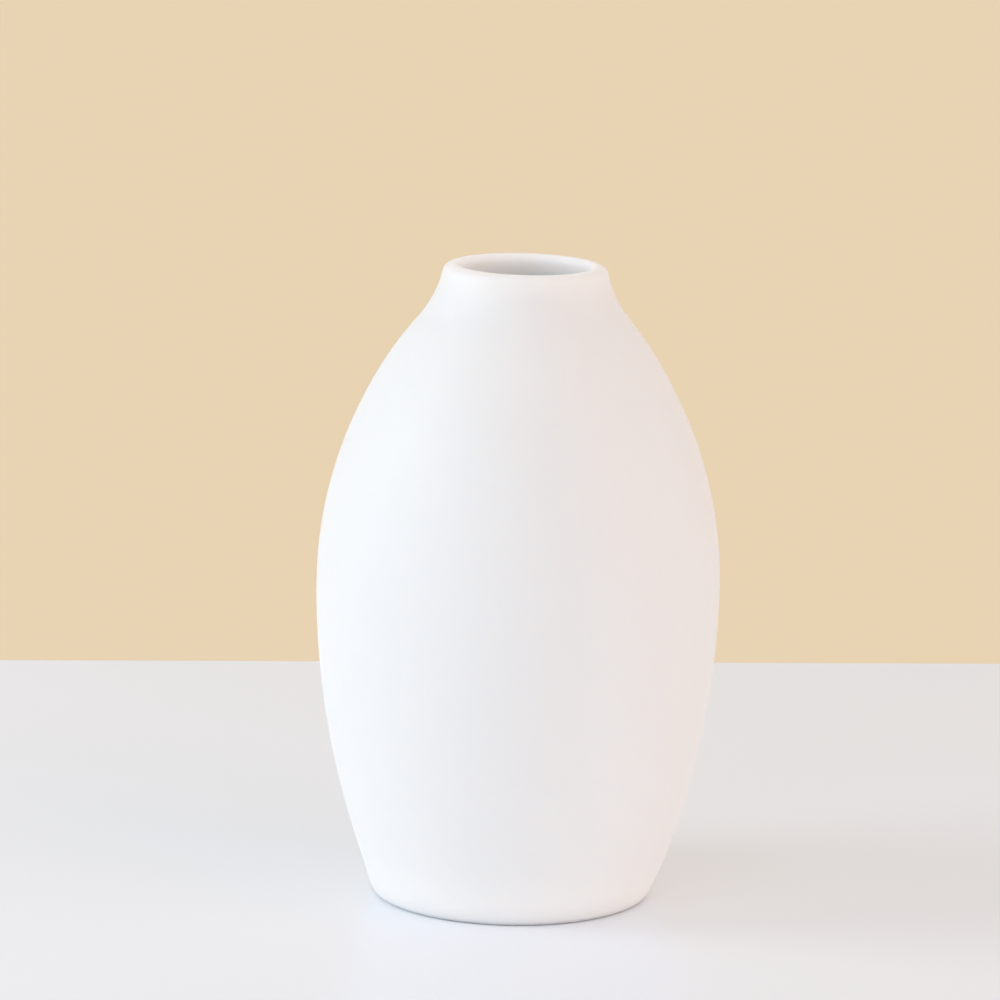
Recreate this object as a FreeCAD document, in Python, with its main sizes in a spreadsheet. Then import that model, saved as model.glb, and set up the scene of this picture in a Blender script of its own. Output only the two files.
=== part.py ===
import FreeCAD, Part
import math
import os

import Sketcher

# An egg-shaped ceramic vase with a short neck and a rounded lip, on a foot ring.
# Millimetres, +Z up. The origin is the centre of the foot, on the surface it stands on.
# The vase is round, so each sub-part is one section, turned about the Z axis.

# The driving dimensions
SIZES = {
    # The outside, read from the photograph
    "vase_height": 200.0,
    "belly_diameter": 126.0,
    "belly_height": 99.0,
    "lip_diameter": 51.5,
    "foot_diameter": 83.0,
    # The curves of the outside. The neck's centre lies a little above the lip's.
    "heel_round": 2.5,
    "neck_curve": 31.0,
    "neck_rise": 6.0,
    "lip_outer_round": 3.2,
    # The narrow flat on top of the rim. The lip's inner round fills the rest of the wall.
    "rim_flat": 0.4,
    # The wall and the floor
    "wall": 5.5,
    "floor_thickness": 6.5,
    "floor_corner": 14.0,
    # The foot ring and the hollow inside it
    "foot_ring_width": 6.0,
    "foot_inner_round": 1.5,
    "hollow_round": 5.0,
    "hollow_depth": 2.0,
    # The glaze inside: its thickness, its edge below the rim and how that edge thins out
    "glaze_thickness": 0.4,
    "glaze_drop": 8.0,
    "glaze_edge": 2.5,
}

# How a sketch numbers an edge's points and its own two axes
START, END, CENTRE = range(1, 4)
ACROSS_AXIS, UP_AXIS = range(-1, -3, -1)
ORIGIN = (ACROSS_AXIS, START)

document = FreeCAD.newDocument("vase")


# The sheet that holds the sizes

def add_sheet():
    sheet = document.addObject("Spreadsheet::Sheet", "Sizes")
    for row, (alias, value) in enumerate(SIZES.items(), start=1):
        sheet.set(f"A{row}", alias.replace("_", " "))
        sheet.set(f"B{row}", str(value))
        sheet.setAlias(f"B{row}", alias)
    document.recompute()
    return sheet


# Where the curves lie. The sketches hold the same figure by constraints. These places are
# only where each curve is first drawn, so that the solver starts on the right side.

def along(centre, radius, angle):
    return (centre[0] + radius * math.cos(angle), centre[1] + radius * math.sin(angle))


def direction(start, end):
    return math.atan2(end[1] - start[1], end[0] - start[0])


def side_radius(belly_point, centre, radius):
    """The side leaves the belly upright and runs smoothly into a round with this centre.

    The round's radius is negative where it curves the other way.
    """
    across = belly_point[0] - centre[0]
    up = belly_point[1] - centre[1]
    return (across**2 + up**2 - radius**2) / (2 * (across - radius))


class Curves:
    """Centres, radii and joint angles of the wall's arcs, at a depth inside the outside."""

    def __init__(self, size):
        belly = (size.belly_diameter / 2, size.belly_height)
        self.heel = (size.foot_diameter / 2, size.heel_round)
        self.lip = (
            size.lip_diameter / 2 - size.lip_outer_round,
            size.vase_height - size.lip_outer_round,
        )
        lip_to_neck = size.neck_curve + size.lip_outer_round
        sideways = math.sqrt(lip_to_neck**2 - size.neck_rise**2)
        self.neck = (self.lip[0] + sideways, self.lip[1] + size.neck_rise)
        self.neck_radius = size.neck_curve
        self.lower_radius = side_radius(belly, self.heel, size.heel_round)
        self.upper_radius = side_radius(belly, self.neck, -size.neck_curve)
        self.lower = (belly[0] - self.lower_radius, belly[1])
        self.upper = (belly[0] - self.upper_radius, belly[1])
        self.heel_angle = direction(self.lower, self.heel)
        self.shoulder_angle = direction(self.upper, self.neck)
        self.lip_angle = direction(self.lip, self.neck)

    def lip_inner_round(self, rim_end, wall):
        """The round that leaves the rim's flat level and runs smoothly into the throat."""
        throat = self.neck_radius + wall
        across = self.neck[0] - rim_end[0]
        up = self.neck[1] - rim_end[1]
        return (throat**2 - across**2 - up**2) / (2 * (throat + up))


class Sizes:
    """The sheet's cells, read by their aliases."""

    def __init__(self, sheet):
        for alias in SIZES:
            setattr(self, alias, float(sheet.get(alias)))


# A closed section in a body's XZ plane: across is the radius, up is the height

class Section:
    def __init__(self, body, name):
        plane = next(part for part in body.Origin.OriginFeatures if part.Role == "XZ_Plane")
        self.sketch = body.newObject("Sketcher::SketchObject", name)
        self.sketch.AttachmentSupport = [(plane, "")]
        self.sketch.MapMode = "FlatFace"

    def line(self, start, end):
        edge = Part.LineSegment(FreeCAD.Vector(*start), FreeCAD.Vector(*end))
        return self.sketch.addGeometry(edge, False)

    def arc(self, centre, radius, first, last, guide=False):
        circle = Part.Circle(FreeCAD.Vector(*centre), FreeCAD.Vector(0, 0, 1), radius)
        return self.sketch.addGeometry(Part.ArcOfCircle(circle, first, last), guide)

    def rule(self, *words):
        return self.sketch.addConstraint(Sketcher.Constraint(*words))

    def smooth(self, first, first_end, second, second_end):
        self.rule("Tangent", first, first_end, second, second_end)

    def join(self, first, first_end, second, second_end):
        self.rule("Coincident", first, first_end, second, second_end)

    def size(self, name, formula, kind, *where):
        """A driving dimension, bound to the sheet."""
        index = self.rule(kind, *where, self.measured(kind, *where))
        self.sketch.renameConstraint(index, name)
        self.sketch.setExpression(f"Constraints.{name}", formula)

    def measured(self, kind, *where):
        """What the dimension measures as drawn, before the sheet takes over."""
        if kind == "Radius":
            return self.sketch.Geometry[where[0]].Radius
        start = self.sketch.getPoint(*where[:2])
        end = self.sketch.getPoint(*where[2:])
        return end.x - start.x if kind == "DistanceX" else end.y - start.y

    def turn(self, body, name):
        """The section turned all the way round the body's own Z axis."""
        solid = body.newObject("PartDesign::Revolution", name)
        solid.Profile = self.sketch
        solid.ReferenceAxis = (self.sketch, ["V_Axis"])
        solid.Angle = 360.0
        body.Tip = solid


def draw_outside(section, curves, size, guide=False):
    """The outside from the foot's flat face up to the rim's, with the sizes that hold it."""
    down = -math.pi / 2
    shoulder = curves.shoulder_angle
    lip_joint = curves.lip_angle
    heel = section.arc(curves.heel, size.heel_round, down, curves.heel_angle, guide)
    lower = section.arc(curves.lower, curves.lower_radius, curves.heel_angle, 0, guide)
    upper = section.arc(curves.upper, curves.upper_radius, 0, shoulder, guide)
    neck = section.arc(
        curves.neck, curves.neck_radius, math.pi + lip_joint, math.pi + shoulder, guide)
    lip = section.arc(curves.lip, size.lip_outer_round, lip_joint, -down, guide)

    section.rule("PointOnObject", heel, START, ACROSS_AXIS)
    section.rule("Vertical", heel, CENTRE, heel, START)
    section.smooth(heel, END, lower, START)
    section.smooth(lower, END, upper, START)
    section.rule("Horizontal", upper, CENTRE, upper, START)
    section.smooth(upper, END, neck, END)
    section.smooth(neck, START, lip, START)
    section.rule("Vertical", lip, CENTRE, lip, END)

    section.size("foot_radius", "Sizes.foot_diameter / 2", "DistanceX", *ORIGIN, heel, CENTRE)
    section.size("heel_round", "Sizes.heel_round", "Radius", heel)
    section.size("belly_radius", "Sizes.belly_diameter / 2", "DistanceX", *ORIGIN, upper, START)
    section.size("belly_height", "Sizes.belly_height", "DistanceY", *ORIGIN, upper, START)
    section.size("neck_curve", "Sizes.neck_curve", "Radius", neck)
    section.size("neck_rise", "Sizes.neck_rise", "DistanceY", lip, CENTRE, neck, CENTRE)
    section.size("lip_outer_round", "Sizes.lip_outer_round", "Radius", lip)
    section.size(
        "lip_centre", "Sizes.lip_diameter / 2 - Sizes.lip_outer_round",
        "DistanceX", *ORIGIN, lip, CENTRE)
    section.size("rim_height", "Sizes.vase_height", "DistanceY", *ORIGIN, lip, END)
    return {"heel": heel, "lower": lower, "upper": upper, "neck": neck, "lip": lip}


def draw_inside(section, curves, size, outside, name, depth, neck_end, depth_formula):
    """A curve at one depth inside the outside, from its neck down to the axis."""
    floor = size.hollow_depth + size.floor_thickness + depth - size.wall
    corner = size.floor_corner + size.wall - depth
    lower_radius = curves.lower_radius - depth
    reach = lower_radius - corner
    rise = floor + corner - curves.lower[1]
    corner_centre = (curves.lower[0] + math.sqrt(reach**2 - rise**2), floor + corner)
    corner_angle = direction(curves.lower, corner_centre)
    shoulder = curves.shoulder_angle
    neck = section.arc(curves.neck, curves.neck_radius + depth, neck_end, math.pi + shoulder)
    upper = section.arc(curves.upper, curves.upper_radius - depth, 0, shoulder)
    lower = section.arc(curves.lower, lower_radius, corner_angle, 0)
    round_corner = section.arc(corner_centre, corner, -math.pi / 2, corner_angle)
    bottom = section.line((corner_centre[0], floor), (0, floor))

    section.join(neck, CENTRE, outside["neck"], CENTRE)
    section.join(upper, CENTRE, outside["upper"], CENTRE)
    section.join(lower, CENTRE, outside["lower"], CENTRE)
    section.smooth(neck, END, upper, END)
    section.smooth(upper, START, lower, END)
    section.smooth(lower, START, round_corner, END)
    section.smooth(round_corner, START, bottom, START)
    section.rule("Horizontal", bottom)
    section.rule("PointOnObject", bottom, END, UP_AXIS)

    section.size(f"{name}_depth", depth_formula, "DistanceX", upper, START, outside["upper"], START)
    section.size(
        f"{name}_corner", f"Sizes.floor_corner + Sizes.wall - ({depth_formula})",
        "Radius", round_corner)
    return {"neck": neck, "bottom": bottom}


# The ceramic shell: wall, lip, heel, floor and foot ring in one section

def make_vase_body(curves, size):
    body = document.addObject("PartDesign::Body", "vase_body")
    section = Section(body, "wall_section")
    outside = draw_outside(section, curves, size)

    # The flat of the rim, the round that runs from it into the throat, and the cavity
    rim_end = (curves.lip[0] - size.rim_flat, size.vase_height)
    inner_round = curves.lip_inner_round(rim_end, size.wall)
    lip_centre = (rim_end[0], rim_end[1] - inner_round)
    throat_angle = math.pi + direction(lip_centre, curves.neck)
    rim = section.line((curves.lip[0], size.vase_height), rim_end)
    inner_lip = section.arc(lip_centre, inner_round, math.pi / 2, throat_angle)
    inside = draw_inside(
        section, curves, size, outside, "cavity", size.wall, throat_angle, "Sizes.wall")
    section.join(outside["lip"], END, rim, START)
    section.rule("Horizontal", rim)
    section.smooth(rim, END, inner_lip, START)
    section.smooth(inner_lip, END, inside["neck"], START)
    section.size("rim_flat", "Sizes.rim_flat", "DistanceX", rim, END, rim, START)

    # The hollow inside the foot ring: a flat ceiling and a double curve down to the ring
    foot = size.foot_diameter / 2
    ring = foot - size.foot_ring_width
    rounds = size.foot_inner_round + size.hollow_round
    bend = math.acos(1 - size.hollow_depth / rounds)
    ceiling_edge = ring - rounds * math.sin(bend)
    ceiling = section.line((0, size.hollow_depth), (ceiling_edge, size.hollow_depth))
    hollow_curve = section.arc(
        (ceiling_edge, size.hollow_depth - size.hollow_round), size.hollow_round,
        math.pi / 2 - bend, math.pi / 2)
    ring_curve = section.arc(
        (ring, size.foot_inner_round), size.foot_inner_round,
        -math.pi / 2 - bend, -math.pi / 2)
    flat = section.line((ring, 0), (foot, 0))
    section.smooth(ceiling, END, hollow_curve, END)
    section.smooth(hollow_curve, START, ring_curve, START)
    section.smooth(ring_curve, END, flat, START)
    section.join(flat, END, outside["heel"], START)
    section.rule("Horizontal", ceiling)
    section.rule("Horizontal", flat)
    section.size("hollow_round", "Sizes.hollow_round", "Radius", hollow_curve)
    section.size("foot_inner_round", "Sizes.foot_inner_round", "Radius", ring_curve)
    section.size("hollow_depth", "Sizes.hollow_depth", "DistanceY", *ORIGIN, ceiling, START)
    section.size("foot_ring_width", "Sizes.foot_ring_width", "DistanceX", flat, START, flat, END)

    # The edge on the axis, through the floor
    centre = section.line((0, size.hollow_depth + size.floor_thickness), (0, size.hollow_depth))
    section.join(inside["bottom"], END, centre, START)
    section.join(centre, END, ceiling, START)
    section.rule("Vertical", centre)
    section.size("floor_thickness", "Sizes.floor_thickness", "DistanceY", centre, END, centre, START)
    section.turn(body, "turned_wall")
    return body, section.sketch


# The glaze inside: a thin skin on the cavity's wall and floor, thinning out below the rim

def make_inner_glaze(curves, size):
    body = document.addObject("PartDesign::Body", "inner_glaze")
    section = Section(body, "glaze_section")
    outside = draw_outside(section, curves, size, guide=True)
    inner_depth = size.wall + size.glaze_thickness
    edge_top = size.vase_height - size.glaze_drop
    edge_foot = edge_top - size.glaze_edge
    top_angle = math.pi - math.asin((edge_top - curves.neck[1]) / (size.neck_curve + size.wall))
    foot_angle = math.pi - math.asin((edge_foot - curves.neck[1]) / (size.neck_curve + inner_depth))
    against_wall = draw_inside(
        section, curves, size, outside, "back", size.wall, top_angle, "Sizes.wall")
    open_face = draw_inside(
        section, curves, size, outside, "face", inner_depth, foot_angle,
        "Sizes.wall + Sizes.glaze_thickness")
    # The floor of the skin's back lies on the shell's floor, and its face above that
    section.size(
        "floor_level", "Sizes.hollow_depth + Sizes.floor_thickness",
        "DistanceY", *ORIGIN, against_wall["bottom"], END)

    back_top = along(curves.neck, size.neck_curve + size.wall, top_angle)
    face_top = along(curves.neck, size.neck_curve + inner_depth, foot_angle)
    edge = section.line(back_top, face_top)
    section.join(against_wall["neck"], START, edge, START)
    section.join(edge, END, open_face["neck"], START)
    section.size(
        "edge_top", "Sizes.vase_height - Sizes.glaze_drop", "DistanceY", *ORIGIN, edge, START)
    section.size("edge_length", "Sizes.glaze_edge", "DistanceY", edge, END, edge, START)

    # The edge on the axis, through the skin on the floor
    floor = size.hollow_depth + size.floor_thickness
    centre = section.line((0, floor + size.glaze_thickness), (0, floor))
    section.join(open_face["bottom"], END, centre, START)
    section.join(centre, END, against_wall["bottom"], END)
    section.size(
        "floor_skin", "Sizes.glaze_thickness", "DistanceY", centre, END, centre, START)
    section.turn(body, "turned_glaze")
    return body, section.sketch


def check_document(sketches, bodies):
    """Stops the build if a feature failed, a sketch is loose or a shape isn't one sound solid."""
    for item in document.Objects:
        if {"Invalid", "Error"} & set(item.State):
            raise RuntimeError(f"{item.Name} failed: {item.State}")
    for sketch in sketches:
        if not sketch.FullyConstrained:
            raise RuntimeError(f"{sketch.Name} isn't fully constrained")
    for body in bodies:
        shape = body.Shape
        if shape.isNull() or not shape.isValid() or len(shape.Solids) != 1:
            raise RuntimeError(f"{body.Name} isn't one valid solid")


sizes = Sizes(add_sheet())
outline_curves = Curves(sizes)
vase_body, wall_sketch = make_vase_body(outline_curves, sizes)
inner_glaze, glaze_sketch = make_inner_glaze(outline_curves, sizes)
sub_parts = [vase_body, inner_glaze]
for part in sub_parts:
    part.Label = part.Name
    part.Placement = FreeCAD.Placement()
document.recompute()
check_document([wall_sketch, glaze_sketch], sub_parts)

os.makedirs("parts", exist_ok=True)
for part in sub_parts:
    part.Shape.exportStep(f"parts/{part.Label}.step")
    box = part.Shape.optimalBoundingBox()
    print(f"{part.Label}: {part.Shape.Volume:.1f} mm3, {box.XLength:.2f} x {box.YLength:.2f}"
          f" x {box.ZLength:.2f} mm, from z {box.ZMin:.2f}")
shared = vase_body.Shape.common(inner_glaze.Shape).Volume
print(f"shared by both: {shared:.3f} mm3, lower side curve {outline_curves.lower_radius:.1f} mm")
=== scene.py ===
import math

import bmesh
import bpy
from mathutils import Matrix, Vector, noise


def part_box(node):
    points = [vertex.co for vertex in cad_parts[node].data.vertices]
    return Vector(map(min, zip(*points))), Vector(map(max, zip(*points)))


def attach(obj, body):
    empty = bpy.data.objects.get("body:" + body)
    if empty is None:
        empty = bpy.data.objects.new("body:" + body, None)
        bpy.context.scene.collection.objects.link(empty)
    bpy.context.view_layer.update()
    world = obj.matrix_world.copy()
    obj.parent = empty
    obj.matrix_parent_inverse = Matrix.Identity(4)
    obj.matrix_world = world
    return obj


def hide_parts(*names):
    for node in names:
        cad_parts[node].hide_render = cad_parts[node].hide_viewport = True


# A matte white ceramic vase: egg-shaped, with a short neck, a rounded lip and a glazed inside.
# Metres, +Z up. The origin is the centre of the foot, on the surface that the vase stands on.

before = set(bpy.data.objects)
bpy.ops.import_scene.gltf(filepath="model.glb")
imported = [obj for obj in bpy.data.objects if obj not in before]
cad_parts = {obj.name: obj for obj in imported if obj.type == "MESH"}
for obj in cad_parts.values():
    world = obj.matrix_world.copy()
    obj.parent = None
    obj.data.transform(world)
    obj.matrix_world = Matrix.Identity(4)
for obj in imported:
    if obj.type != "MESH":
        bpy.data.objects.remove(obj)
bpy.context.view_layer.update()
BODY = "root"
MM = 0.001

# Sizes that the frame gives
SHELL_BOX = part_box("vase_body")
GLAZE_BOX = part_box("inner_glaze")
VASE_HEIGHT = SHELL_BOX[1].z
BELLY_RADIUS = SHELL_BOX[1].x
WALL = BELLY_RADIUS - GLAZE_BOX[1].x
FLOOR_LEVEL = GLAZE_BOX[0].z
GLAZE_TOP = GLAZE_BOX[1].z

# Sizes of the section's curves
BELLY_HEIGHT = 99 * MM
LIP_RADIUS = 25.75 * MM
FOOT_RADIUS = 41.5 * MM
HEEL_ROUND = 2.5 * MM
NECK_CURVE = 31 * MM
NECK_RISE = 6 * MM
LIP_OUTER_ROUND = 3.2 * MM
RIM_FLAT = 0.4 * MM
FLOOR_CORNER = 14 * MM
FOOT_RING_WIDTH = 6 * MM
FOOT_INNER_ROUND = 1.5 * MM
HOLLOW_ROUND = 5 * MM
HOLLOW_DEPTH = 2 * MM
GLAZE_THICKNESS = 0.4 * MM
GLAZE_EDGE = 2.5 * MM

# What makes the vase look made by hand. The neck leans a little to one side and the rim
# falls towards that side, the foot sits a little to the other side, the neck is a touch
# fuller, the surface is never quite round, and the glaze's edge runs up and down.
NECK_LEAN = 0.42 * MM
NECK_LEAN_HEIGHTS = (160 * MM, 198 * MM)
FOOT_SHIFT = 0.6 * MM
FOOT_SHIFT_HEIGHTS = (0, 13 * MM)
NECK_SWELL = 0.22 * MM
NECK_SWELL_HEIGHTS = (158 * MM, 182 * MM)
RIM_FALL = 0.4 * MM
RIM_DIP = 0.12 * MM
RIM_DIP_LENGTH = 22 * MM
RIM_HEIGHTS = (188 * MM, 198 * MM)
UNEVENNESS = 0.12 * MM
UNEVEN_LENGTH = 55 * MM
GLAZE_EDGE_WAVE = 1.6 * MM
GLAZE_EDGE_WAVES = 1.7
GLAZE_FADE = 8 * MM

# How finely the surfaces are made
COLUMNS = 160
LONG_STEP = 3.5 * MM
TURN_STEP = math.radians(12)

# Colours, as linear red, green and blue. The outside of the lip is painted darker than the rest,
# as painted shade, and the lip's inner round and the throat are painted whiter, as painted light.
CERAMIC_WHITE = (0.869, 0.861, 0.845)
CERAMIC_SHADE = (0.854, 0.844, 0.825)
CERAMIC_GRAIN = (0.803, 0.79, 0.768)
# Painted shade: the outside of the lip is darker than the rest of the coat.
LIP_PAINTED_SHADE = (0.80, 0.792, 0.776)
# Painted light: the lip's inner round and the throat are whiter than the rest of the coat.
INNER_PAINTED_LIGHT = (0.97, 0.965, 0.96)
# The foot ring's bare clay, partly painted light: lighter than the coat to soften the shade in
# the gap under the heel.
BARE_CLAY_AND_PAINTED_LIGHT = (0.92, 0.90, 0.87)
GLAZE_WHITE = (0.97, 0.965, 0.96)
GLAZE_POOL = (0.87, 0.87, 0.85)
TABLE_WHITE = (0.857, 0.905, 0.97)
TABLE_SHADE = (0.839, 0.887, 0.955)
WALL_BEIGE = (0.807, 0.652, 0.451)
AMBIENT = (1.0, 0.95, 0.925)

# Noise: how fine its detail is, and the range that most of it keeps to
SOFT_DETAIL = 2.0
LINE_DETAIL = 3.0
GRAIN_DETAIL = 1.0
NOISE_RANGE = (0.3, 0.7)

# The ceramic's coat: its cloudiness, its grain, its roughness, its bumps, how deep light
# goes into it, and how far red, green and blue spread there
CLOUD_LENGTH = 38 * MM
GRAIN_LENGTH = 0.35 * MM
GRAIN_RANGE = (0.66, 0.8)
GRAIN_STRENGTH = 0.6
GRAIN_BUMP = 0.006 * MM
COAT_ROUGHNESS = (0.5, 0.6)
COAT_ROUGHNESS_LENGTH = 12 * MM
COAT_BUMP = 0.03 * MM
COAT_BUMP_LENGTH = 9 * MM
LIGHT_DEPTH = 10 * MM
LIGHT_SPREAD = (1.0, 0.9, 0.8)

# Where the coat ends above the foot ring, and where the painted light inside the lip and the
# painted shade outside it lie: how wide each is, counted from the middle of the lip, and between
# which heights it sets in
COAT_END = (0.7 * MM, 1.3 * MM)
COAT_END_LENGTH = 7 * MM
COAT_END_BLUR = 0.12 * MM
INNER_LIP_WIDTH = 0.8 * MM
INNER_LIP_HEIGHTS = (160 * MM, 188 * MM)
OUTER_LIP_WIDTH = 1.6 * MM
OUTER_LIP_HEIGHTS = (188 * MM, 198 * MM)

# The lining's glaze
GLAZE_POOL_STRENGTH = 0.8
GLAZE_POOL_LENGTH = 20 * MM
GLAZE_ROUGHNESS = (0.24, 0.32)
GLAZE_ROUGHNESS_LENGTH = 10 * MM
GLAZE_GLOSS = 0.3
GLAZE_GLOSS_ROUGHNESS = 0.15
GLAZE_BUMP = 0.03 * MM
GLAZE_BUMP_LENGTH = 6 * MM

# The table's finish
TABLE_PATCH_LENGTH = 0.4
TABLE_ROUGHNESS = (0.3, 0.36)
TABLE_ROUGHNESS_LENGTH = 0.15
TABLE_SHINE = 0.25

# The lamps. Left is in degrees from the camera's side of the vase, up in degrees above
# the middle of the vase, and distance is from there. The reflector stands for the light
# that the table sends back: it lies 1 mm above the table and faces up.
LAMPS = {
    "window": {
        "colour": (0.86, 0.95, 1.0), "watts": 5.2, "width": 0.6,
        "distance": 1.3, "left": 83, "up": 24,
    },
    "front": {
        "colour": (0.45, 0.72, 1.0), "watts": 4.4, "width": 1.2,
        "distance": 1.5, "left": 28, "up": 8,
    },
    "fill": {
        "colour": (1.0, 0.55, 0.32), "watts": 4.0, "width": 1.2,
        "distance": 1.5, "left": -58, "up": 24,
    },
    "reflector": {
        "colour": (1.0, 0.92, 0.88), "watts": 0.5, "width": 1.0,
        "distance": 0.099, "left": 0, "up": -90,
    },
}

# The light from all round: its level, and how much it grows to the right, to the back and
# upward. Below 0 it falls that way.
AMBIENT_LEVEL = 0.86
AMBIENT_SLOPE = (0.06, -0.06, -0.12)

# The camera, at the photograph's viewing angle. The lens and the sensor are in mm.
CAMERA_LENS = 192.95
CAMERA_SENSOR = 36
CAMERA_PLACE = Vector((0, -1.6377, 0.4509))
CAMERA_DOWN = math.radians(11.243)
CAMERA_LEFT = math.radians(0.215)
CAMERA_ROLL = math.radians(1.089)

# The table that the vase stands on. Its back edge slopes away to the right.
TABLE_BACK = 0.32
TABLE_BACK_SLOPE = 0.072
TABLE_FRONT = -3.0
TABLE_HALF_WIDTH = 3.0
TABLE_THICKNESS = 0.03


# The section's curves: centres, radii and the angles where they meet

def direction(start, end):
    """The angle at which one point sees another."""
    return math.atan2(end[1] - start[1], end[0] - start[0])


def side_radius(belly, centre, radius):
    """The side leaves the belly upright and runs smoothly into a round with this centre.

    The round's radius is negative where it curves the other way.
    """
    across = belly[0] - centre[0]
    up = belly[1] - centre[1]
    return (across**2 + up**2 - radius**2) / (2 * (across - radius))


BELLY = (BELLY_RADIUS, BELLY_HEIGHT)
HEEL_CENTRE = (FOOT_RADIUS, HEEL_ROUND)
LIP_CENTRE = (LIP_RADIUS - LIP_OUTER_ROUND, VASE_HEIGHT - LIP_OUTER_ROUND)
NECK_CENTRE = (
    LIP_CENTRE[0] + math.sqrt((NECK_CURVE + LIP_OUTER_ROUND) ** 2 - NECK_RISE**2),
    LIP_CENTRE[1] + NECK_RISE,
)
LOWER_RADIUS = side_radius(BELLY, HEEL_CENTRE, HEEL_ROUND)
UPPER_RADIUS = side_radius(BELLY, NECK_CENTRE, -NECK_CURVE)
LOWER_CENTRE = (BELLY_RADIUS - LOWER_RADIUS, BELLY_HEIGHT)
UPPER_CENTRE = (BELLY_RADIUS - UPPER_RADIUS, BELLY_HEIGHT)
HEEL_JOINT = direction(LOWER_CENTRE, HEEL_CENTRE)
SHOULDER = direction(UPPER_CENTRE, NECK_CENTRE)
LIP_JOINT = direction(LIP_CENTRE, NECK_CENTRE)


def arc(centre, radius, first, last):
    """Points along an arc from one angle to another, both ends included."""
    turn = abs(last - first)
    count = max(math.ceil(turn / TURN_STEP), math.ceil(turn * radius / LONG_STEP), 2)
    angles = [first + (last - first) * k / count for k in range(count + 1)]
    return [
        (centre[0] + radius * math.cos(angle), centre[1] + radius * math.sin(angle))
        for angle in angles
    ]


def straight(start, end):
    """Points along a straight stretch, both ends included."""
    count = max(math.ceil(math.dist(start, end) / LONG_STEP), 1)
    return [
        tuple(a + (b - a) * k / count for a, b in zip(start, end))
        for k in range(count + 1)
    ]


def joined(*stretches):
    """One outline from stretches that meet end to end."""
    outline = list(stretches[0])
    for stretch in stretches[1:]:
        outline += stretch[1:]
    return outline


def underside():
    """From the axis, over the hollow's flat ceiling and the foot ring, to the heel."""
    ring = FOOT_RADIUS - FOOT_RING_WIDTH
    rounds = FOOT_INNER_ROUND + HOLLOW_ROUND
    bend = math.acos(1 - HOLLOW_DEPTH / rounds)
    ceiling_edge = ring - rounds * math.sin(bend)
    quarter = math.pi / 2
    return joined(
        straight((0, HOLLOW_DEPTH), (ceiling_edge, HOLLOW_DEPTH)),
        arc((ceiling_edge, HOLLOW_DEPTH - HOLLOW_ROUND), HOLLOW_ROUND, quarter, quarter - bend),
        arc((ring, FOOT_INNER_ROUND), FOOT_INNER_ROUND, -quarter - bend, -quarter),
        straight((ring, 0), (FOOT_RADIUS, 0)),
    )


def outside():
    """From the heel, up the side and round the lip to the rim's flat top."""
    return joined(
        arc(HEEL_CENTRE, HEEL_ROUND, -math.pi / 2, HEEL_JOINT),
        arc(LOWER_CENTRE, LOWER_RADIUS, HEEL_JOINT, 0),
        arc(UPPER_CENTRE, UPPER_RADIUS, 0, SHOULDER),
        arc(NECK_CENTRE, NECK_CURVE, math.pi + SHOULDER, math.pi + LIP_JOINT),
        arc(LIP_CENTRE, LIP_OUTER_ROUND, LIP_JOINT, math.pi / 2),
    )


def inner_lip():
    """The rim's flat top and its rounded inner edge, and the angle where the throat starts."""
    rim_end = (LIP_CENTRE[0] - RIM_FLAT, VASE_HEIGHT)
    reach = NECK_CURVE + WALL
    across = NECK_CENTRE[0] - rim_end[0]
    up = NECK_CENTRE[1] - rim_end[1]
    rounding = (reach**2 - across**2 - up**2) / (2 * (reach + up))
    centre = (rim_end[0], rim_end[1] - rounding)
    throat = math.pi + direction(centre, NECK_CENTRE)
    rim = straight((LIP_CENTRE[0], VASE_HEIGHT), rim_end)
    return joined(rim, arc(centre, rounding, math.pi / 2, throat)), throat


def inside(depth, throat):
    """From the throat down to the axis, at one depth inside the outside."""
    floor = FLOOR_LEVEL + depth - WALL
    corner = FLOOR_CORNER + WALL - depth
    reach = LOWER_RADIUS - depth - corner
    rise = floor + corner - BELLY_HEIGHT
    corner_centre = (LOWER_CENTRE[0] + math.sqrt(reach**2 - rise**2), floor + corner)
    corner_joint = direction(LOWER_CENTRE, corner_centre)
    return joined(
        arc(NECK_CENTRE, NECK_CURVE + depth, throat, math.pi + SHOULDER),
        arc(UPPER_CENTRE, UPPER_RADIUS - depth, SHOULDER, 0),
        arc(LOWER_CENTRE, LOWER_RADIUS - depth, 0, corner_joint),
        arc(corner_centre, corner, corner_joint, -math.pi / 2),
        straight((corner_centre[0], floor), (0, floor)),
    )


# Turning a section into a mesh, and the small unevenness of a thing made by hand

def smooth_step(value, low, high):
    """0 below the range and 1 above it, with a smooth rise between."""
    share = min(max((value - low) / (high - low), 0), 1)
    return share * share * (3 - 2 * share)


def soft_noise(place):
    """Smooth noise, mostly between 0 and 1."""
    return 0.5 + 0.5 * noise.noise(place)


def handmade(point):
    """Where a point of the perfectly round vase lies on this one."""
    around = Vector((point.x, point.y, 0))
    in_rim = smooth_step(point.z, *RIM_HEIGHTS)
    hollow = UNEVENNESS * soft_noise(point / UNEVEN_LENGTH)
    swell = NECK_SWELL * (smooth_step(point.z, *NECK_SWELL_HEIGHTS) - in_rim)
    moved = point + around * (swell / LIP_RADIUS - hollow / BELLY_RADIUS)
    moved.x += NECK_LEAN * smooth_step(point.z, *NECK_LEAN_HEIGHTS)
    moved.x -= FOOT_SHIFT * (1 - smooth_step(point.z, *FOOT_SHIFT_HEIGHTS))
    dip = RIM_DIP * soft_noise(around / RIM_DIP_LENGTH)
    fall = RIM_FALL * (0.5 + 0.5 * point.x / LIP_RADIUS)
    moved.z -= (dip + fall) * in_rim
    return moved


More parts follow.
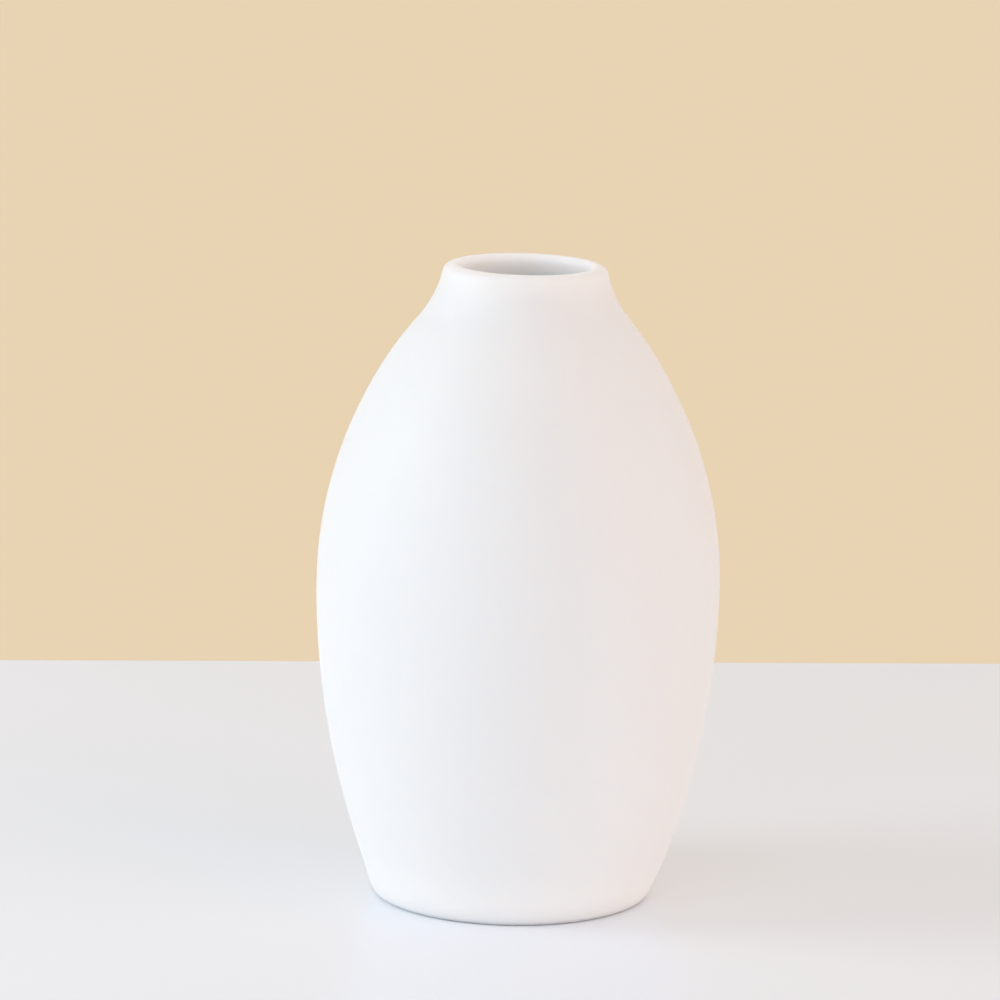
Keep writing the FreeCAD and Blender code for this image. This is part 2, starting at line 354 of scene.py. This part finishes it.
def turned(name, outline, changed=None):
    """A closed mesh: the outline, from axis to axis, turned round in equal columns.

    changed, if given, gives the outline's points at an angle.
    """
    mesh = bmesh.new()
    first = mesh.verts.new(handmade(Vector((0, 0, outline[0][1]))))
    last = mesh.verts.new(handmade(Vector((0, 0, outline[-1][1]))))
    columns = []
    for k in range(COLUMNS):
        angle = 2 * math.pi * k / COLUMNS
        points = changed(outline, angle) if changed else outline
        columns.append([
            mesh.verts.new(handmade(Vector((r * math.cos(angle), r * math.sin(angle), z))))
            for r, z in points[1:-1]
        ])
    for one, other in zip(columns, columns[1:] + columns[:1]):
        mesh.faces.new((first, other[0], one[0]))
        for low in range(len(one) - 1):
            mesh.faces.new((one[low], other[low], other[low + 1], one[low + 1]))
        mesh.faces.new((last, one[-1], other[-1]))
    for face in mesh.faces:
        face.smooth = True
    data = bpy.data.meshes.new(name)
    mesh.to_mesh(data)
    mesh.free()
    piece = bpy.data.objects.new(name, data)
    bpy.context.scene.collection.objects.link(piece)
    return piece


# The pieces

def make_shell():
    lip, throat = inner_lip()
    outline = joined(underside(), outside(), lip, inside(WALL, throat))
    piece = turned("vase_shell", outline)
    piece.data.materials.append(matte_ceramic())
    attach(piece, BODY)
    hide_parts("vase_body")


def slid_down_throat(point, drop):
    """A point near the lining's edge, lowered by up to this much at its own depth in the wall."""
    share = smooth_step(point[1], GLAZE_TOP - GLAZE_FADE, GLAZE_TOP)
    if not share:
        return point
    reach = math.dist(point, NECK_CENTRE)
    height = point[1] - drop * share
    return (NECK_CENTRE[0] - math.sqrt(reach**2 - (height - NECK_CENTRE[1]) ** 2), height)


def make_lining():
    """The glaze inside. Its edge runs round a little unevenly, and thins out upward."""
    face_depth = WALL + GLAZE_THICKNESS
    top = math.pi - math.asin((GLAZE_TOP - NECK_CENTRE[1]) / (NECK_CURVE + WALL))
    edge_foot = GLAZE_TOP - GLAZE_EDGE
    foot = math.pi - math.asin((edge_foot - NECK_CENTRE[1]) / (NECK_CURVE + face_depth))
    back = inside(WALL, top)
    face = inside(face_depth, foot)
    edge = straight(back[0], face[0])
    outline = joined(face[::-1], edge[::-1], back)

    def waved(points, angle):
        """The outline with its edge drawn down along the throat, by a wave that fades below."""
        place = Vector((math.cos(angle), math.sin(angle), 0)) * GLAZE_EDGE_WAVES
        wave = GLAZE_EDGE_WAVE * soft_noise(place)
        return [slid_down_throat(point, wave) for point in points]

    piece = turned("glaze_lining", outline, waved)
    piece.data.materials.append(clear_glaze())
    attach(piece, BODY)
    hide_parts("inner_glaze")


# Materials

class Nodes:
    """A material's nodes, made and joined by short calls."""

    # A Mix node's colour sockets share their names with others, so they go by number
    MIX_FIRST = 6
    MIX_SECOND = 7
    MIX_RESULT = 2

    def __init__(self, name):
        self.material = bpy.data.materials.new(name)
        self.material.use_nodes = True
        self.tree = self.material.node_tree
        self.shader = self.tree.nodes["Principled BSDF"]
        self.place = self.add("ShaderNodeTexCoord").outputs["Object"]

    def add(self, kind, **inputs):
        node = self.tree.nodes.new(kind)
        for name, value in inputs.items():
            self.feed(node.inputs[name.replace("_", " ")], value)
        return node

    def feed(self, socket, value):
        """Joins a socket to another node's output, or gives it a plain value.

        A colour's tuple gets its fourth number here, and a vector's needs none.
        """
        if isinstance(value, bpy.types.NodeSocket):
            self.tree.links.new(value, socket)
        elif isinstance(value, tuple):
            socket.default_value = (*value, 1)[:len(socket.default_value)]
        else:
            socket.default_value = value

    def clouds(self, length, detail=SOFT_DETAIL):
        """Soft noise from 0 to 1 whose patches are about this long."""
        node = self.add(
            "ShaderNodeTexNoise", Vector=self.place, Scale=1 / length, Detail=detail)
        return node.outputs["Fac"]

    def remap(self, value, low, high, to_low, to_high):
        node = self.add(
            "ShaderNodeMapRange", Value=value,
            From_Min=low, From_Max=high, To_Min=to_low, To_Max=to_high)
        return node.outputs["Result"]

    def varied(self, length, low, high, detail=SOFT_DETAIL):
        """A number that wanders between two others, in patches about this long."""
        return self.remap(self.clouds(length, detail), *NOISE_RANGE, low, high)

    def mixed(self, factor, first, second):
        node = self.tree.nodes.new("ShaderNodeMix")
        node.data_type = "RGBA"
        self.feed(node.inputs["Factor"], factor)
        self.feed(node.inputs[self.MIX_FIRST], first)
        self.feed(node.inputs[self.MIX_SECOND], second)
        return node.outputs[self.MIX_RESULT]

    def maths(self, operation, *values):
        node = self.tree.nodes.new("ShaderNodeMath")
        node.operation = operation
        for socket, value in zip(node.inputs, values):
            self.feed(socket, value)
        return node.outputs["Value"]

    def bump(self, height, distance, under=None):
        node = self.add("ShaderNodeBump", Height=height, Distance=distance)
        if under:
            self.feed(node.inputs["Normal"], under)
        return node.outputs["Normal"]

    def split(self):
        """The X, Y and Z of the place."""
        return self.add("ShaderNodeSeparateXYZ", Vector=self.place).outputs

    def set(self, **inputs):
        for name, value in inputs.items():
            self.feed(self.shader.inputs[name.replace("_", " ")], value)


def from_axis(look, point):
    """How far a point lies from the vase's axis."""
    across = look.maths("POWER", point["X"], 2.0)
    along = look.maths("POWER", point["Y"], 2.0)
    return look.maths("SQRT", look.maths("ADD", across, along))


def painted_light_inside_lip(look, radius, height):
    """1 on the lip's inner round and the throat, where the colour is painted whiter, as painted
    light.
    """
    middle = LIP_CENTRE[0]
    within = look.remap(radius, middle - INNER_LIP_WIDTH, middle, 1.0, 0.0)
    high = look.remap(height, *INNER_LIP_HEIGHTS, 0.0, 1.0)
    return look.maths("MULTIPLY", within, high)


def painted_shade_outside_lip(look, radius, height):
    """1 on the lip's outer round, where the colour is painted a little darker, as painted shade.
    """
    middle = LIP_CENTRE[0]
    beyond = look.remap(radius, middle, middle + OUTER_LIP_WIDTH, 0.0, 1.0)
    high = look.remap(height, *OUTER_LIP_HEIGHTS, 0.0, 1.0)
    return look.maths("MULTIPLY", beyond, high)


def matte_ceramic():
    """A matte white coat with a faint cloudiness and a fine grain, with painted shade on the
    lip's outer round and painted light on its inner round. The foot ring is bare clay, painted
    lighter than the coat as painted light, to soften the shade under the heel.
    """
    look = Nodes("matte_ceramic")
    point = look.split()
    coat_end = look.varied(COAT_END_LENGTH, *COAT_END, LINE_DETAIL)
    above = look.maths("SUBTRACT", point["Z"], coat_end)
    coated = look.remap(above, -COAT_END_BLUR, COAT_END_BLUR, 0.0, 1.0)
    cloudy = look.mixed(look.clouds(CLOUD_LENGTH), CERAMIC_WHITE, CERAMIC_SHADE)
    grain = look.clouds(GRAIN_LENGTH, GRAIN_DETAIL)
    grains = look.remap(grain, *GRAIN_RANGE, 0.0, GRAIN_STRENGTH)
    grainy = look.mixed(grains, cloudy, CERAMIC_GRAIN)
    radius = from_axis(look, point)
    # Painted shade on the lip's outer round
    shaded_lip = look.mixed(painted_shade_outside_lip(look, radius, point["Z"]), grainy, LIP_PAINTED_SHADE)
    # Painted light on the lip's inner round and the throat
    white = look.mixed(painted_light_inside_lip(look, radius, point["Z"]), shaded_lip, INNER_PAINTED_LIGHT)
    soft = look.bump(look.clouds(COAT_BUMP_LENGTH), COAT_BUMP)
    look.set(
        # The bare foot ring, partly painted light: lighter to soften the shade under the heel
        Base_Color=look.mixed(coated, BARE_CLAY_AND_PAINTED_LIGHT, white),
        Roughness=look.varied(COAT_ROUGHNESS_LENGTH, *COAT_ROUGHNESS),
        Subsurface_Weight=1.0,
        Subsurface_Scale=LIGHT_DEPTH,
        Subsurface_Radius=LIGHT_SPREAD,
        Normal=look.bump(grain, GRAIN_BUMP, soft),
    )
    return look.material


def clear_glaze():
    """A satin glaze over the same white, a little deeper where it gathers on the floor."""
    look = Nodes("clear_glaze")
    pool_top = FLOOR_LEVEL + FLOOR_CORNER
    pool = look.remap(look.split()["Z"], FLOOR_LEVEL, pool_top, GLAZE_POOL_STRENGTH, 0.0)
    tone = look.maths("MULTIPLY", pool, look.clouds(GLAZE_POOL_LENGTH))
    look.set(
        Base_Color=look.mixed(tone, GLAZE_WHITE, GLAZE_POOL),
        Roughness=look.varied(GLAZE_ROUGHNESS_LENGTH, *GLAZE_ROUGHNESS),
        Coat_Weight=GLAZE_GLOSS,
        Coat_Roughness=GLAZE_GLOSS_ROUGHNESS,
        Normal=look.bump(look.clouds(GLAZE_BUMP_LENGTH), GLAZE_BUMP),
    )
    return look.material


def table_top():
    """A plain pale table with a weak, soft shine."""
    look = Nodes("table_top")
    look.set(
        Base_Color=look.mixed(look.clouds(TABLE_PATCH_LENGTH), TABLE_WHITE, TABLE_SHADE),
        Roughness=look.varied(TABLE_ROUGHNESS_LENGTH, *TABLE_ROUGHNESS),
        Specular_IOR_Level=TABLE_SHINE,
    )
    return look.material


# The stage: a table, the light and the camera

def make_table():
    corners = [
        (-TABLE_HALF_WIDTH, TABLE_FRONT), (TABLE_HALF_WIDTH, TABLE_FRONT),
        (TABLE_HALF_WIDTH, TABLE_BACK + TABLE_BACK_SLOPE * TABLE_HALF_WIDTH),
        (-TABLE_HALF_WIDTH, TABLE_BACK - TABLE_BACK_SLOPE * TABLE_HALF_WIDTH),
    ]
    mesh = bmesh.new()
    top = mesh.faces.new([mesh.verts.new((x, y, 0)) for x, y in corners])
    walls = bmesh.ops.extrude_face_region(mesh, geom=[top])["geom"]
    lowered = [item for item in walls if isinstance(item, bmesh.types.BMVert)]
    bmesh.ops.translate(mesh, verts=lowered, vec=(0, 0, -TABLE_THICKNESS))
    bmesh.ops.recalc_face_normals(mesh, faces=mesh.faces)
    data = bpy.data.meshes.new("table")
    mesh.to_mesh(data)
    mesh.free()
    table = bpy.data.objects.new("table", data)
    bpy.context.scene.collection.objects.link(table)
    data.materials.append(table_top())


def make_world():
    """Even soft light from all round. The camera and reflections see a pale beige backdrop."""
    world = bpy.data.worlds.new("room")
    bpy.context.scene.world = world
    world.use_nodes = True
    nodes = world.node_tree.nodes
    links = world.node_tree.links
    light = nodes["Background"]
    light.inputs["Color"].default_value = (*AMBIENT, 1)
    slope = nodes.new("ShaderNodeVectorMath")
    slope.operation = "DOT_PRODUCT"
    links.new(nodes.new("ShaderNodeTexCoord").outputs["Generated"], slope.inputs[0])
    slope.inputs[1].default_value = AMBIENT_SLOPE
    strength = nodes.new("ShaderNodeMath")
    links.new(slope.outputs["Value"], strength.inputs[0])
    strength.inputs[1].default_value = AMBIENT_LEVEL
    links.new(strength.outputs["Value"], light.inputs["Strength"])
    backdrop = nodes.new("ShaderNodeBackground")
    backdrop.inputs["Color"].default_value = (*WALL_BEIGE, 1)
    path = nodes.new("ShaderNodeLightPath")
    seen = path.outputs["Is Camera Ray"]
    for kind in ("Is Glossy Ray", "Is Transmission Ray"):
        either = nodes.new("ShaderNodeMath")
        either.operation = "MAXIMUM"
        links.new(seen, either.inputs[0])
        links.new(path.outputs[kind], either.inputs[1])
        seen = either.outputs["Value"]
    mix = nodes.new("ShaderNodeMixShader")
    links.new(seen, mix.inputs["Fac"])
    links.new(light.outputs["Background"], mix.inputs[1])
    links.new(backdrop.outputs["Background"], mix.inputs[2])
    links.new(mix.outputs["Shader"], nodes["World Output"].inputs["Surface"])


def make_lamp(name, colour, watts, width, distance, left, up):
    """A large soft square lamp that faces the middle of the vase."""
    data = bpy.data.lights.new(name, "AREA")
    data.shape = "SQUARE"
    data.size = width
    data.energy = watts
    data.color = colour
    lamp = bpy.data.objects.new(name, data)
    bpy.context.scene.collection.objects.link(lamp)
    azimuth = math.radians(left)
    elevation = math.radians(up)
    towards = Vector((
        -math.sin(azimuth) * math.cos(elevation),
        -math.cos(azimuth) * math.cos(elevation),
        math.sin(elevation),
    ))
    lamp.location = Vector((0, 0, VASE_HEIGHT / 2)) + towards * distance
    lamp.rotation_euler = towards.to_track_quat("Z", "Y").to_euler()
    lamp.visible_camera = False


def make_camera():
    data = bpy.data.cameras.new("camera")
    data.sensor_width = CAMERA_SENSOR
    data.lens = CAMERA_LENS
    camera = bpy.data.objects.new("camera", data)
    bpy.context.scene.collection.objects.link(camera)
    turn = (
        Matrix.Rotation(CAMERA_LEFT, 3, "Z")
        @ Matrix.Rotation(math.pi / 2 - CAMERA_DOWN, 3, "X")
        @ Matrix.Rotation(CAMERA_ROLL, 3, "Z")
    )
    camera.matrix_world = Matrix.LocRotScale(CAMERA_PLACE, turn, None)
    bpy.context.scene.camera = camera


bpy.context.scene.view_settings.view_transform = "Standard"
make_shell()
make_lining()
make_table()
make_world()
for lamp_name, settings in LAMPS.items():
    make_lamp(lamp_name, **settings)
make_camera()
